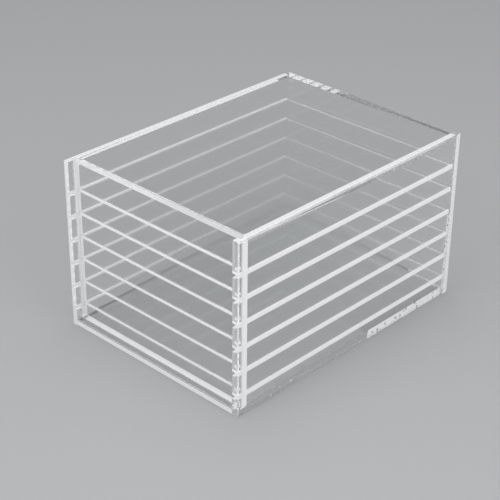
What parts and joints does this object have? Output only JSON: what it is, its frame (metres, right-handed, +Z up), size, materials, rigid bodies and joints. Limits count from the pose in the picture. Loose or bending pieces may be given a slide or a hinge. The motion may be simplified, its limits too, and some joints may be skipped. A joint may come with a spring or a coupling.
{
  "type": "cosmetic organizer box",
  "caption": "Clear acrylic open-fronted box with milled side grooves that carry loose clear tiles as slide-out shelves for small flat cosmetics.",
  "frame": {"origin": "middle of the footprint, on the surface that the box stands on", "axes": "+X to the right seen from the open front, +Y from the front to the back, +Z up"},
  "size_m": [0.126, 0.172, 0.099],
  "materials": {
    "case_acrylic": "clear cast acrylic sheet, polished faces, sawn edges, frosted milled grooves",
    "tile_acrylic": "clear thin acrylic sheet, polished faces, satin edges"
  },
  "bodies": {
    "case": {"left_side_wall": "case_acrylic", "right_side_wall": "case_acrylic", "back_wall": "case_acrylic", "base_panel": "case_acrylic", "top_panel": "case_acrylic"},
    "tile_1": {"tile_1": "tile_acrylic"},
    "tile_2": {"tile_2": "tile_acrylic"},
    "tile_3": {"tile_3": "tile_acrylic"},
    "tile_4": {"tile_4": "tile_acrylic"},
    "tile_5": {"tile_5": "tile_acrylic"},
    "tile_6": {"tile_6": "tile_acrylic"}
  },
  "joints": [
    {"name": "tile_1_slide", "type": "slide", "parent": "case", "child": "tile_1", "axis": [0, -1, 0], "range_m": [0, 0.172]},
    {"name": "tile_2_slide", "type": "slide", "parent": "case", "child": "tile_2", "axis": [0, -1, 0], "range_m": [0, 0.172]},
    {"name": "tile_3_slide", "type": "slide", "parent": "case", "child": "tile_3", "axis": [0, -1, 0], "range_m": [0, 0.172]},
    {"name": "tile_4_slide", "type": "slide", "parent": "case", "child": "tile_4", "axis": [0, -1, 0], "range_m": [0, 0.172]},
    {"name": "tile_5_slide", "type": "slide", "parent": "case", "child": "tile_5", "axis": [0, -1, 0], "range_m": [0, 0.172]},
    {"name": "tile_6_slide", "type": "slide", "parent": "case", "child": "tile_6", "axis": [0, -1, 0], "range_m": [0, 0.172]}
  ]
}
